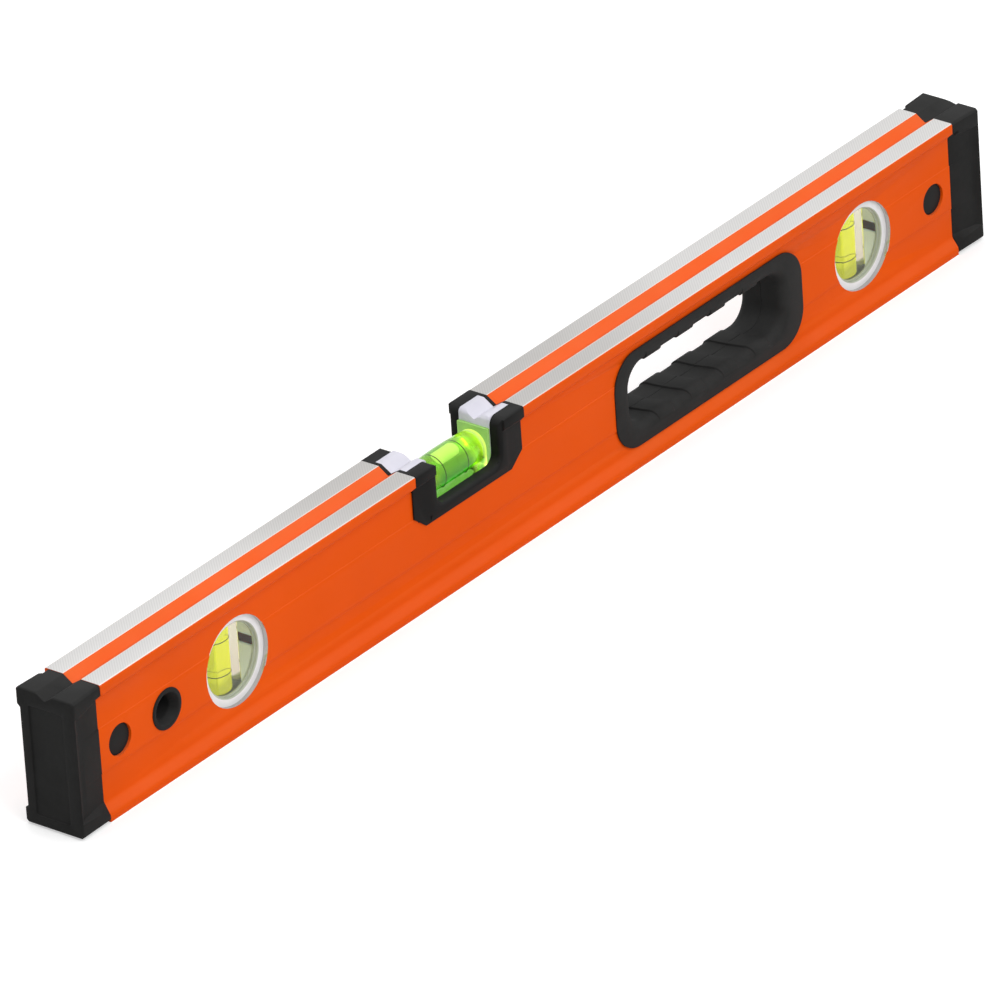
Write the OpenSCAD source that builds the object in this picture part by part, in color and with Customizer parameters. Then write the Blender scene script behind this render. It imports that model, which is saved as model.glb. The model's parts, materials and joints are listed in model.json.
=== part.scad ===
// Box beam level: a hollow aluminium beam with a top-reading vial, two plumb vials,
// a lined hand opening, a hang hole and soft end caps held by sprung lock buttons.
// Frame: +X along the length, front face towards -Y, +Z up, Z = 0 on the working face.

/* [Beam] */
// Overall length over both end caps
level_len = 610; // [600:5:640]
// Height from the working face to the top rails
beam_h = 62.5; // [62:0.5:63]
// Width over the top rails
beam_w = 28.5; // [28:0.5:29.5]
// Half width of the side walls, measured to their outer face
wall_y = 11.35; // [11:0.05:11.5]
// Thickness of the side walls
wall_t = 2.5; // [2:0.1:2.5]
// Height of the rail lip above its sloping underside
lip_h = 4.8; // [4.5:0.1:5]
// Depth of the groove between the rails
groove_depth = 3.1; // [2.5:0.1:3.3]
// Half width of the groove between the rails
groove_half = 4.75; // [4:0.25:5]
// Rise of the thicker middle band of the walls
band_rise = 0.3; // [0.2:0.05:0.4]

/* [End caps] */
// Length of each end cap beyond the beam
cap_len = 18; // [17:0.5:20]
// Distance of the lock button axis from the middle of the level
button_x = 274.5; // [272:0.5:276]
// Radius of the hole for a lock button
button_hole_r = 7; // [6.6:0.1:7.2]

/* [Handle] */
// Middle of the hand opening along the length
grip_x = 115.2; // [112:0.2:118]
// Length of the lining over its longest flange
grip_len = 131; // [129:0.5:133]
// Height of the lining over its tallest flange
grip_h = 45.6; // [45:0.2:46]
// Length of the hand opening
hole_len = 105; // [103:0.5:106]
// Height of the hand opening between its recesses
hole_h = 27.2; // [26.8:0.2:27.6]
// Height of the finger pads
pad_rise = 0.9; // [0.6:0.1:1.1]
// Spacing of the finger pads
pad_pitch = 22.2; // [21.5:0.1:23]

/* [Centre vial] */
// Middle of the centre vial along the length
centre_x = -47.3; // [-49:0.1:-45]
// Length of the black housing
housing_len = 72; // [71:0.5:73]
// Length of the window in the housing
window_len = 41.8; // [41:0.2:42.4]
// Largest radius of the barrel vial
barrel_r = 7.9; // [7.6:0.1:7.9]
// Radius of the bore in the barrel vial
barrel_bore_r = 5.7; // [5.4:0.1:5.9]
// Distance between the reading rings of the barrel vial
barrel_ring_gap = 14.8; // [14.4:0.1:15.2]

/* [Plumb vials] */
// Middle of the left plumb vial along the length
plumb_left_x = -199.5; // [-201:0.5:-197]
// Middle of the right plumb vial along the length
plumb_right_x = 224.2; // [222:0.2:226]
// Radius of the round hole for a plumb vial
plumb_r = 19.7; // [19.4:0.1:19.7]
// Inner radius of the white bezel
bezel_in_r = 16.5; // [16.2:0.1:17]
// Distance between the reading rings of a plumb vial
plumb_ring_gap = 15.4; // [15:0.1:16]

/* [Hang hole] */
// Middle of the hang hole along the length
hang_x = -245; // [-246:0.5:-243]
// Radius of the hang hole
hang_r = 5; // [4.5:0.1:5.2]

/* [Hidden] */
$fn = 64;
eps = 0.01;

// Beam section
half_w = beam_w / 2;
beam_half = level_len / 2 - cap_len;
top_edge_r = 1;
lip_slope = 2.8;
lip_z = beam_h - lip_h;
groove_z = beam_h - groove_depth;
groove_flat = 0.3;
band_y = wall_y + band_rise;
band_hi = 41.6;
band_lo = 21.3;
flare_top = 8.8;
flare_low = 2.6;
foot_y = half_w + 0.2;
foot_r = 0.4;
mid_z = 31.2;
wall_in = wall_y - wall_t;
web_top = 52;
web_bottom = 10.4;
web_t = 1.8;
skin_t = 2.2;

// End caps
cap_wall_y = 12.75;
cap_back_y = 13.4;
cap_out_y = 14.8;
cap_ramp = 12;
cove_len = 4;
cap_edge = 0.5;
cap_lift = 0.6;
cap_sink = 0.2;
cap_top = beam_h - cap_sink;
cap_lip_z = 54.6;
cap_foot_z = 7.1;
groove_lap = 0.8;
groove_over = 0.5;
dip_y = 3.4;
dip_depth = 1.1;
dip_lap = 0.3;
neck_len = 4;
neck_front_y = 14.1;
neck_back_y = 12.9;
panel_half = 8.7;
panel_lo = 5.2;
panel_hi = 55.4;
panel_depth = 0.7;
post_y = 5;
post_lo = 16;
post_hi = 46;
post_len = 11;
plug_len = 26;

// Lock buttons
button_r = button_hole_r - 0.08;
button_face = 10.6;
flange_r = 8.2;
flange_t = 1.5;
stem_r = 2.2;
stem_len = 3;
flange_in = wall_in - flange_t;
spring_r = 3.6;
spring_wire = 0.45;
spring_turns = 6;

// Handle lining
grip_flange_y = 12.2;
grip_flange_r = 15;
flange_len = grip_len - 1.8;
flange_h = grip_h - 1.2;
flange_x = 0.9;
flange_z = -0.6;
grip_lap = 3;
grip_corner = 9;
grip_fillet = 4.5;
pad_len = 10.2;
pad_edge_r = 58;
seam_chamfer = 0.35;

// Centre housing
plate_y = 12.2;
housing_half = housing_len / 2;
plate_low = 36.2;
plate_chamfer_x = 7.5;
plate_chamfer_z = 6;
housing_lip_y = half_w + 0.15;
cut_half = housing_half - 3;
cut_low = 39.2;
lip_cut_z = 54.5;
window_half = window_len / 2;
sill_z = 41.9;
window_corner_r = 5;
window_fillet = 1.8;
rim_y = 13.25;
rim_side_w = 4.5;
rim_low_w = 2;
rim_ramp = 3;
post_top_r = 4;
tray_y = 8;
tray_wall_x = housing_half - 1.9;
tray_floor = 39.5;
tray_top = 41.2;
tray_seat = 40.4;
block_edge_r = 2;
plate_t = 1.5;
tray_face = window_half - plate_t;
barrel_z = 48.4;
barrel_end_r = 7.1;
barrel_bore_half = 17.3;
flange_top = 57.5;
ring_w = 0.5;
ring_t = 0.3;
centre_travel = 9.5;
centre_bubble_r = 2.3;
centre_bubble_len = 14.4;

// Plumb vials
bezel_y = 9.35;
bezel_t = 2.6;
drum_y = bezel_y - bezel_t;
lens_t = 1.1;
lens_y = bezel_y - 0.4;
block_x = 15.5;
block_y = 13.4;
block_half = 17.2;
block_chamfer = 0.4;
plumb_bore_r = 4.4;
plumb_bore_half = 16;
plumb_bubble_r = 3.2;
plumb_bubble_len = 7.4;
plumb_travel = 24;
drum_r = (web_top - web_bottom) / 2;
drum_step = 0.8;
slot_y = 6.2;
slot_z = 2.4;
slot_lip = 1;
slot_drop = 3;

// Hang hole
hang_flange_r = 9.04;
hang_tube_r = 8;
hang_flange_y = 12.15;
hang_mouth_r = 7.2;
hang_mouth_depth = 3.5;

// Points of an arc, from angle a0 to angle a1
function arc(cx, cy, r, a0, a1, n) =
    [for (i = [0:n]) [cx + r * cos(a0 + (a1 - a0) * i / n), cy + r * sin(a0 + (a1 - a0) * i / n)]];

// Extrudes a (y, z) outline from x0 to x1
module along_x(x0, x1) translate([x0, 0, 0]) rotate([90, 0, 90]) linear_extrude(x1 - x0) children();

// Extrudes an (x, z) outline from y0 to y1
module along_y(y0, y1) translate([0, y1, 0]) rotate([90, 0, 0]) linear_extrude(y1 - y0) children();

// A cylinder along Y from y0 to y1
module rod_y(x, z, r, y0, y1) translate([x, y1, z]) rotate([90, 0, 0]) cylinder(r = r, h = y1 - y0);

// A cylinder with round ends along Z, centred
module capsule(r, len) {
    cylinder(r = r, h = len - 2 * r, center = true);
    for (s = [-1, 1]) translate([0, 0, s * (len / 2 - r)]) sphere(r = r);
}

module round_rect(w, h, r) {
    square([w, h - 2 * r], center = true);
    square([w - 2 * r, h], center = true);
    for (sx = [-1, 1], sy = [-1, 1]) translate([sx * (w / 2 - r), sy * (h / 2 - r)]) circle(r = r);
}

// Outer outline of the beam
half_section = concat(
    [[groove_flat, groove_z], [groove_half, beam_h]],
    arc(half_w - top_edge_r, beam_h - top_edge_r, top_edge_r, 90, 0, 4),
    [[half_w, lip_z], [wall_y, lip_z - lip_slope],
     [wall_y, band_hi + band_rise], [band_y, band_hi], [band_y, band_lo],
     [wall_y, band_lo - band_rise]],
    [for (i = [0:8]) [wall_y + (foot_y - wall_y) * (1 - cos(22.5 * i)) / 2,
                      flare_top - (flare_top - flare_low) * i / 8]],
    arc(foot_y - foot_r, foot_r, foot_r, 0, -90, 4));

module beam_outline()
    polygon(concat(half_section,
        [for (i = [len(half_section) - 1:-1:0]) [-half_section[i][0], half_section[i][1]]]));

// The three chambers inside the beam
module beam_chambers() {
    translate([-wall_in, web_bottom]) square([2 * wall_in, web_top - web_bottom]);
    translate([-wall_in, skin_t]) square([2 * wall_in, web_bottom - web_t - skin_t]);
    polygon([[-wall_in, web_top + web_t], [wall_in, web_top + web_t],
        [wall_in, beam_h - skin_t], [groove_half, beam_h - skin_t],
        [groove_flat, groove_z - skin_t], [-groove_flat, groove_z - skin_t],
        [-groove_half, beam_h - skin_t], [-wall_in, beam_h - skin_t]]);
}

module beam() color("orangered") difference() {
    along_x(-beam_half, beam_half) difference() {
        beam_outline();
        beam_chambers();
    }
    // centre vial
    translate([centre_x - cut_half, -half_w - 1, cut_low]) cube([2 * cut_half, beam_w + 2, beam_h]);
    translate([centre_x - housing_half, -half_w - 1, lip_cut_z])
        cube([housing_len, beam_w + 2, beam_h]);
    // plumb vials, hang hole and lock buttons
    for (x = [plumb_left_x, plumb_right_x]) rod_y(x, mid_z, plumb_r, -half_w - 1, half_w + 1);
    rod_y(hang_x, mid_z, hang_tube_r, -half_w - 1, half_w + 1);
    for (s = [-1, 1]) rod_y(s * button_x, mid_z, button_hole_r, -half_w - 1, half_w + 1);
    // hand opening
    along_y(-half_w - 1, half_w + 1) translate([grip_x, mid_z])
        round_rect(grip_len - 2 * grip_lap, grip_h - 2 * grip_lap, grip_flange_r - grip_lap);
}

// One slice of a cap's lip, from s0 to s1 along the cap. Its half width is f at the front and
// b at the back, and its underside slopes from out_z down to the wall
module cap_lip_slice(s0, s1, f, b, out_z, wall, inset = 0)
    along_x(s0, s1) polygon([
        [-f, out_z], [-f, cap_top - 1 - inset], [-f + 1, cap_top - inset],
        [b - 1, cap_top - inset], [b, cap_top - 1 - inset], [b, out_z],
        [wall, out_z - (f - wall)], [-wall, out_z - (f - wall)]]);

// One slice of a cap's foot, from s0 to s1 along the cap
module cap_foot_slice(s0, s1, half, out_z, wall, wall_z, inset = 0)
    along_x(s0, s1) polygon([
        [-wall, wall_z], [wall, wall_z], [half, out_z], [half, cap_lift + 1 + inset],
        [half - 1, cap_lift + inset], [-half + 1, cap_lift + inset],
        [-half, cap_lift + 1 + inset], [-half, out_z]]);

// Plan of a cap's walls. The front one curves out to a full-width rim at the end
cap_plan = concat(
    [[0, wall_y], [0, -wall_y], [cap_ramp, -cap_wall_y]],
    [for (i = [0:6]) [cap_len - cap_edge - cove_len * (1 - i / 6),
                      -cap_wall_y - (cap_out_y - cap_wall_y) * (1 - cos(15 * i))]],
    [[cap_len, -cap_out_y + cap_edge], [cap_len, cap_back_y - cap_edge],
     [cap_len - cap_edge, cap_back_y], [cap_ramp, cap_back_y]]);

// Groove in a cap's top: open to the end on the left cap, rising to a shallow dip on the right
open_groove = [[0, groove_z - cap_sink], [groove_half + groove_lap, beam_h + groove_over],
               [-groove_half - groove_lap, beam_h + groove_over]];
shallow_groove = [[-dip_y, cap_top - dip_depth], [groove_half + dip_lap, beam_h + groove_over],
                  [-groove_half - groove_lap, beam_h + groove_over]];

// A soft end cap, drawn from the beam's end at 0 towards +X
module cap_body(groove_end) difference() {
    union() {
        translate([0, 0, cap_lift + 1]) linear_extrude(lip_z - cap_lift) polygon(cap_plan);
        // middle band that fades out along the cap
        translate([0, 0, band_lo]) linear_extrude(band_hi - band_lo)
            polygon([[0, band_y], [0, -band_y], [cap_ramp, -cap_wall_y], [cap_ramp, cap_back_y]]);
        // lip: a narrow neck beside the beam, then the full width
        cap_lip_slice(0, neck_len + 1, neck_front_y, neck_back_y, lip_z, wall_y);
        hull() {
            cap_lip_slice(neck_len, neck_len + 0.1, neck_front_y, neck_back_y + 0.3, lip_z - 1, wall_y);
            cap_lip_slice(neck_len + 1, neck_len + 1.1, neck_front_y, half_w, lip_z - 1.5, wall_y);
            cap_lip_slice(cap_len - 1, cap_len - cap_edge, cap_out_y, cap_out_y, cap_lip_z,
                cap_wall_y);
            cap_lip_slice(cap_len - 0.1, cap_len, cap_out_y - cap_edge, cap_out_y - cap_edge,
                cap_lip_z, cap_wall_y, cap_edge);
        }
        hull() {
            cap_foot_slice(0, 0.1, foot_y, flare_low + 0.6, wall_y, flare_top);
            cap_foot_slice(neck_len + 1, neck_len + 1.1, half_w, cap_foot_z - 1, wall_y + 0.5,
                flare_top);
            cap_foot_slice(cap_len - 1, cap_len - cap_edge, cap_out_y, cap_foot_z, cap_wall_y,
                cap_foot_z + 0.6);
            cap_foot_slice(cap_len - 0.1, cap_len, cap_out_y - cap_edge, cap_foot_z, cap_wall_y,
                cap_foot_z + 0.4, cap_edge);
        }
    }
    // groove that carries on from the beam
    hull() {
        along_x(-1, 0) polygon(open_groove);
        along_x(cap_len, cap_len + 1) polygon(groove_end);
    }
    // recessed panel in the end face
    translate([cap_len - panel_depth, 0, (panel_lo + panel_hi) / 2]) rotate([90, 0, 90])
        linear_extrude(2) round_rect(2 * panel_half, panel_hi - panel_lo, 1);
    // pocket for the post of the plug
    translate([-1, -post_y, post_lo]) cube([post_len + 1, 2 * post_y, post_hi - post_lo]);
    translate([post_len - 4, -post_y - 1.5, post_lo]) cube([4, 2 * post_y + 3, post_hi - post_lo]);
}

module end_cap(s) color("#2b2b2b") translate([s * beam_half, 0, 0])
    if (s < 0) mirror([1, 0, 0]) cap_body(open_groove); else cap_body(shallow_groove);

// The hard plug inside the beam, with the post that holds the soft cap
module plug_body() difference() {
    union() {
        translate([-plug_len, -wall_in + 0.05, web_bottom + 0.1])
            cube([plug_len, 2 * wall_in - 0.1, web_top - web_bottom - 0.2]);
        translate([0, -post_y, post_lo]) cube([post_len, 2 * post_y, post_hi - post_lo]);
        translate([post_len - 4, -post_y - 1.5, post_lo])
            cube([4, 2 * post_y + 3, post_hi - post_lo]);
    }
    // bore for the two buttons and their spring
    rod_y(button_x - beam_half, mid_z, flange_r + 0.2, -half_w, half_w);
    // hollows that lighten the plug
    for (z = [web_bottom + 2.4, mid_z + flange_r + 2])
        translate([-plug_len - 1, -wall_in + 2.2, z])
            cube([plug_len - 2, 2 * wall_in - 4.4, mid_z - flange_r - 2 - web_bottom - 2.4]);
}

module cap_plug(s) color("#3a3a3a") translate([s * beam_half, 0, 0])
    if (s < 0) mirror([1, 0, 0]) plug_body(); else plug_body();

// A lock button: face, retaining flange and stem, drawn for the front side
module button_body() {
    rod_y(0, mid_z, button_r, -button_face, -wall_in + eps);
    rod_y(0, mid_z, flange_r, -wall_in, -flange_in);
    rod_y(0, mid_z, stem_r, -flange_in - eps, -flange_in + stem_len);
}

module lock_button(s, side) color("#262626") translate([s * button_x, 0, 0])
    if (side > 0) mirror([0, 1, 0]) button_body(); else button_body();

// Coil spring between the two buttons, swept as rings of points along a helix
spring_len = 2 * flange_in - 2 * spring_wire - 0.1;
spring_steps = 12 * spring_turns;
spring_sides = 6;
spring_points = [for (i = [0:spring_steps], j = [0:spring_sides - 1])
    let (a = 30 * i, b = 360 / spring_sides * j, r = spring_r + spring_wire * cos(b))
    [r * cos(a), -spring_len / 2 + spring_len * i / spring_steps + spring_wire * sin(b), r * sin(a)]];
spring_faces = concat(
    [[for (j = [0:spring_sides - 1]) j]],
    [[for (j = [spring_sides - 1:-1:0]) spring_steps * spring_sides + j]],
    [for (i = [0:spring_steps - 1], j = [0:spring_sides - 1], h = [0, 1])
        let (a = i * spring_sides + j, b = i * spring_sides + (j + 1) % spring_sides)
        h == 0 ? [a, a + spring_sides, b] : [b, a + spring_sides, b + spring_sides]]);

module lock_spring(s) color("silver") translate([s * button_x, 0, mid_z])
    polyhedron(points = spring_points, faces = spring_faces, convexity = 8);

// One half of the eyelet in the hang hole, drawn for the front side
module grommet_body() difference() {
    union() {
        rod_y(hang_x, mid_z, hang_flange_r, -hang_flange_y, -band_y);
        rod_y(hang_x, mid_z, hang_tube_r, -band_y, 0);
    }
    rod_y(hang_x, mid_z, hang_r, -half_w, 1);
    translate([hang_x, -hang_flange_y - eps, mid_z]) rotate([-90, 0, 0])
        cylinder(r1 = hang_mouth_r, r2 = hang_r, h = hang_mouth_depth);
}

module hang_grommet(side) color("#2e2e2e")
    if (side > 0) mirror([0, 1, 0]) grommet_body(); else grommet_body();

// Material beside a hole's edge that a fillet of radius r takes away: distance from the
// corner centre across, depth along
module fillet_gap(corner, r) difference() {
    translate([corner - 0.5, -1.5]) square([r + 0.5, r + 1.5]);
    translate([corner + r, r]) circle(r = r);
}

// A rounded rectangular hole through the front half, with a filleted mouth at depth y0
module mouth(w, h, corner, r, y0) {
    a = w / 2 - corner;
    b = h / 2 - corner;
    for (sx = [-1, 1], sz = [-1, 1]) translate([sx * a, y0, sz * b]) rotate([-90, 0, 0])
        rotate_extrude() fillet_gap(corner, r);
    for (m = [0, 1]) mirror([0, 0, m]) translate([a, y0, b]) rotate([0, -90, 0])
        linear_extrude(2 * a) fillet_gap(corner, r);
    for (m = [0, 1]) mirror([m, 0, 0]) translate([a, y0, -b])
        linear_extrude(2 * b) fillet_gap(corner, r);
}

module grip_hole(h) {
    along_y(-half_w, 1) round_rect(hole_len, h, grip_corner);
    mouth(hole_len, h, grip_corner, grip_fillet, -grip_flange_y);
    mirror([0, 1, 0]) mouth(hole_len, h, grip_corner, seam_chamfer, 0);
}

// Plan of the finger pads: strips with curved edges, for the lower wall
module pad_strips() for (i = [-1.5:1:1.5]) translate([pad_pitch * i - 1.8, 0]) difference() {
    translate([pad_edge_r - pad_len / 2, half_w - 3]) circle(r = pad_edge_r, $fn = 180);
    translate([pad_edge_r + pad_len / 2, half_w - 3]) circle(r = pad_edge_r, $fn = 180);
    translate([0, half_w]) square([2 * pad_edge_r, pad_edge_r * 4]);
}

module grip_blank() {
    along_y(-grip_flange_y, -band_y) translate([flange_x, flange_z])
        round_rect(flange_len, flange_h, grip_flange_r);
    along_y(-band_y, 0)
        round_rect(grip_len - 2 * grip_lap, grip_h - 2 * grip_lap, grip_flange_r - grip_lap);
}

// One half of the lining; turn puts the pads of the upper wall where the lower ones mirror to
module grip_body(turn) {
    difference() {
        grip_blank();
        grip_hole(hole_h);
    }
    for (up = [0, 1]) difference() {
        intersection() {
            grip_blank();
            mirror([up, 0, 0]) translate([0, 0, up == 0 ? -grip_h / 2 : 0])
                linear_extrude(grip_h / 2) mirror([0, turn, 0]) pad_strips();
        }
        grip_hole(hole_h - 2 * pad_rise);
    }
}

module handle_grip(side) color("#2c2c2c") translate([grip_x, 0, mid_z])
    if (side > 0) mirror([0, 1, 0]) grip_body(1); else grip_body(0);

// Outline of the housing plate in front view, about the middle of the centre vial
module plate_outline()
    polygon([[-housing_half, plate_low + plate_chamfer_z], [-housing_half + plate_chamfer_x, plate_low],
        [housing_half - plate_chamfer_x, plate_low], [housing_half, plate_low + plate_chamfer_z],
        [housing_half, lip_cut_z + 0.6], [-housing_half, lip_cut_z + 0.6]]);

// The window in front view, with rounded corners at the top of its two posts
module window_outline() {
    translate([0, sill_z + beam_h / 2]) round_rect(window_len, beam_h, window_corner_r);
    for (s = [-1, 1]) difference() {
        translate([s * (window_half + post_top_r / 2) - post_top_r / 2, beam_h - post_top_r])
            square([post_top_r, post_top_r + 1]);
        translate([s * (window_half + post_top_r), beam_h - post_top_r]) circle(r = post_top_r);
    }
}

// One half of the black housing, drawn for the front side
module housing_body() translate([centre_x, 0, 0]) difference() {
    union() {
        along_y(-plate_y, -band_y) plate_outline();
        // wall that fills the cut-out of the beam, down to the white tray
        translate([-cut_half, -band_y, cut_low])
            cube([2 * cut_half, band_y - tray_y, lip_cut_z + 0.6 - cut_low]);
        // lip that carries the rails' outline across the housing
        along_x(-housing_half, housing_half) polygon(concat(
            arc(-housing_lip_y + top_edge_r, beam_h - top_edge_r, top_edge_r, 90, 180, 4),
            [[-housing_lip_y, lip_z], [-plate_y, lip_z - lip_slope + 0.4], [-plate_y, lip_cut_z],
             [-tray_y, lip_cut_z], [-tray_y, beam_h]]));
        // raised rim beside and below the window
        translate([0, 0, sill_z - rim_low_w]) linear_extrude(lip_z - sill_z + rim_low_w)
            for (s = [-1, 1])
            polygon([[s * (window_half - 1), -rim_y], [s * (window_half + rim_side_w), -rim_y],
                [s * (window_half + rim_side_w + rim_ramp), -plate_y],
                [s * (window_half + rim_side_w + rim_ramp), -band_y], [s * (window_half - 1), -band_y]]);
        along_x(-window_half - rim_side_w, window_half + rim_side_w)
            polygon([[-rim_y, sill_z + 1], [-rim_y, sill_z - rim_low_w],
                [-plate_y, sill_z - rim_low_w - rim_ramp], [-band_y, sill_z - rim_low_w - rim_ramp],
                [-band_y, sill_z + 1]]);
        // end walls that follow the groove
        for (s = [-1, 1]) translate([s * (housing_half + tray_wall_x) / 2, 0, 0])
            along_x(-(housing_half - tray_wall_x) / 2, (housing_half - tray_wall_x) / 2)
            polygon([[0, groove_z], [-groove_half, beam_h], [-tray_y - eps, beam_h],
                [-tray_y - eps, lip_cut_z], [0, lip_cut_z]]);
        // floor under the white tray
        translate([-cut_half, -band_y, cut_low]) cube([2 * cut_half, band_y, tray_floor - cut_low]);
    }
    along_y(-half_w - 1, -tray_y + eps) window_outline();
    translate([0, 0, sill_z + beam_h / 2])
        mouth(window_len, beam_h, window_corner_r, window_fillet, -rim_y);
}

module centre_housing(side) color("#2d2d2d")
    if (side > 0) mirror([0, 1, 0]) housing_body(); else housing_body();

// Half barrel profile: radius against distance from the middle
function barrel_radius(x) = barrel_r - (barrel_r - barrel_end_r) * pow(x / tray_face, 2);

// The white tray: a floor and two end blocks whose tops carry on the groove
module centre_cradle() color("white") translate([centre_x, 0, 0]) difference() {
    union() {
        translate([-tray_wall_x, -tray_y, tray_floor])
            cube([2 * tray_wall_x, 2 * tray_y, tray_top - tray_floor]);
        for (s = [-1, 1]) translate([s * (tray_face + tray_wall_x) / 2, 0, 0])
            along_x(-(tray_wall_x - tray_face) / 2, (tray_wall_x - tray_face) / 2)
            polygon([[-tray_y, tray_floor], [tray_y, tray_floor], [tray_y, beam_h],
                [groove_half, beam_h], [0, groove_z], [-groove_half, beam_h], [-tray_y, beam_h]]);
    }
    // beam web that each end block overhangs
    for (s = [-1, 1]) translate([s * (cut_half + 2.5), 0, 0])
        cube([5, 2 * tray_y + 2, 2 * lip_cut_z], center = true);
    // seats for the vial's two square ends
    for (s = [-1, 1]) translate([s * (tray_face + plate_t / 2), 0, (tray_seat + flange_top) / 2])
        cube([plate_t, 2 * tray_y + 1, flange_top - tray_seat], center = true);
    // the end blocks stop flush with the window above the plates
    translate([0, 0, flange_top + beam_h / 2])
        cube([window_len, 2 * tray_y + 1, beam_h], center = true);
    // rounded top edge of the end blocks beside the window
    for (s = [-1, 1]) translate([s * (window_half + block_edge_r), 0, beam_h - block_edge_r])
        rotate([90, 0, 0]) difference() {
            translate([-s * block_edge_r / 2, block_edge_r / 2, 0])
                cube([block_edge_r, block_edge_r, beam_w], center = true);
            cylinder(r = block_edge_r, h = beam_w + 1, center = true);
        }
}

// Points across the barrel vial at n + 1 stations, on the side given by s
function barrel_side(s, n = 16) =
    [for (i = [0:n]) let (x = tray_face * (2 * i / n - 1)) [x, s * barrel_radius(x)]];

// The clear vial: a barrel on straight sides, with a square plate at its closed left end
module centre_vial() color("#c8f04090") translate([centre_x, 0, barrel_z]) difference() {
    union() {
        intersection() {
            rotate([0, 90, 0]) rotate_extrude() polygon(concat([[0, -tray_face]],
                [for (p = barrel_side(1)) [p[1], p[0]]], [[0, tray_face]]));
            translate([-tray_face, -tray_y, tray_top - barrel_z])
                cube([2 * tray_face, 2 * tray_y, beam_h]);
        }
        translate([0, 0, tray_top - barrel_z]) linear_extrude(barrel_z - tray_top)
            polygon(concat(barrel_side(-1), [for (i = [16:-1:0]) barrel_side(1)[i]]));
        translate([-tray_face - plate_t, -tray_y, tray_seat - barrel_z])
            cube([plate_t + eps, 2 * tray_y, flange_top - tray_seat]);
    }
    translate([-barrel_bore_half, 0, 0]) rotate([0, 90, 0])
        cylinder(r = barrel_bore_r, h = 2 * tray_face);
    for (s = [-1, 1]) translate([s * barrel_ring_gap / 2, 0, 0]) rotate([0, 90, 0])
        cylinder(r = barrel_bore_r + ring_t, h = ring_w, center = true);
}

// The plate and spigot that close the right end of the barrel
module centre_vial_plug() color("#c8f04090") translate([centre_x, 0, barrel_z]) {
    translate([tray_face, -tray_y, tray_seat - barrel_z])
        cube([plate_t, 2 * tray_y, flange_top - tray_seat]);
    translate([barrel_bore_half, 0, 0]) rotate([0, 90, 0])
        cylinder(r = barrel_bore_r, h = tray_face - barrel_bore_half + eps);
}

// A thin ring of radius r around the X axis
module ring_band(r) difference() {
    cylinder(r = r + ring_t, h = ring_w, center = true);
    cylinder(r = r, h = ring_w + 1, center = true);
}

module centre_rings() color("black") for (s = [-1, 1])
    translate([centre_x + s * barrel_ring_gap / 2, 0, barrel_z]) rotate([0, 90, 0])
    ring_band(barrel_bore_r);

bubble_lift = barrel_bore_r - centre_bubble_r - 0.3;
module centre_liquid() color("#b4e61e") translate([centre_x, 0, barrel_z]) rotate([0, 90, 0])
    difference() {
        cylinder(r = barrel_bore_r, h = 2 * barrel_bore_half, center = true);
        translate([-bubble_lift, 0, 0])
            cylinder(r = centre_bubble_r + 0.2, center = true,
                h = centre_bubble_len + 2 * centre_travel + 0.4);
    }

module centre_bubble() color("#f0ffe0")
    translate([centre_x, 0, barrel_z + bubble_lift]) rotate([0, 90, 0])
    capsule(centre_bubble_r, centre_bubble_len);

// The white round holder of a plumb vial
module plumb_drum(x) color("white") translate([x, 0, mid_z]) difference() {
    rod_y(0, 0, drum_r, -drum_y, drum_y);
    rod_y(0, 0, bezel_in_r, -drum_y - 1, drum_y + 1);
    for (s = [-1, 1]) rod_y(0, 0, bezel_in_r + drum_step, s * drum_y - drum_step, s * drum_y + drum_step);
    cube([block_x, drum_y * 2 + 1, 2 * block_half], center = true);
    // open slot through the wall beside the vial, deeper behind its lip
    translate([bezel_in_r - 3, -slot_y, -slot_z]) cube([drum_r, 2 * slot_y, 2 * slot_z]);
    translate([bezel_in_r + slot_lip, -slot_y, -slot_z - slot_drop])
        cube([drum_r, 2 * slot_y, 2 * slot_z + slot_drop]);
}

// A white bezel with a step for its lens, drawn for the front side
module bezel_body(x) translate([x, 0, mid_z]) difference() {
    rod_y(0, 0, plumb_r, -bezel_y, -drum_y);
    translate([0, -bezel_y - eps, 0]) rotate([-90, 0, 0])
        cylinder(r1 = bezel_in_r + 0.1, r2 = bezel_in_r - 0.4, h = bezel_y - lens_y + 2 * eps);
    rod_y(0, 0, bezel_in_r - 0.4, -lens_y, -lens_y + lens_t);
    rod_y(0, 0, bezel_in_r - 0.9, -lens_y + lens_t - eps, -drum_y + 1);
}

module plumb_bezel(x, side) color("white")
    if (side > 0) mirror([0, 1, 0]) bezel_body(x); else bezel_body(x);

module plumb_lens(x, side) color("#e8f8f060")
    rod_y(x, mid_z, bezel_in_r - 0.4, side > 0 ? lens_y - lens_t : -lens_y,
        side > 0 ? lens_y : -lens_y + lens_t);

// The clear block of a plumb vial, bored from the top
module plumb_vial(x) color("#c8f04090") translate([x, 0, mid_z]) difference() {
    linear_extrude(2 * block_half, center = true) difference() {
        square([block_x, block_y], center = true);
        for (sx = [-1, 1], sy = [-1, 1]) translate([sx * block_x / 2, sy * block_y / 2])
            rotate(45) square(2 * block_chamfer, center = true);
    }
    translate([0, 0, -plumb_bore_half]) cylinder(r = plumb_bore_r, h = 2 * block_half);
    for (s = [-1, 1]) translate([0, 0, s * plumb_ring_gap / 2])
        cylinder(r = plumb_bore_r + ring_t, h = ring_w, center = true);
}

module plumb_plug(x) color("#d8e8c8") translate([x, 0, mid_z + plumb_bore_half])
    cylinder(r = plumb_bore_r, h = block_half - plumb_bore_half);

module plumb_rings(x) color("black") for (s = [-1, 1])
    translate([x, 0, mid_z + s * plumb_ring_gap / 2]) ring_band(plumb_bore_r);

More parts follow.
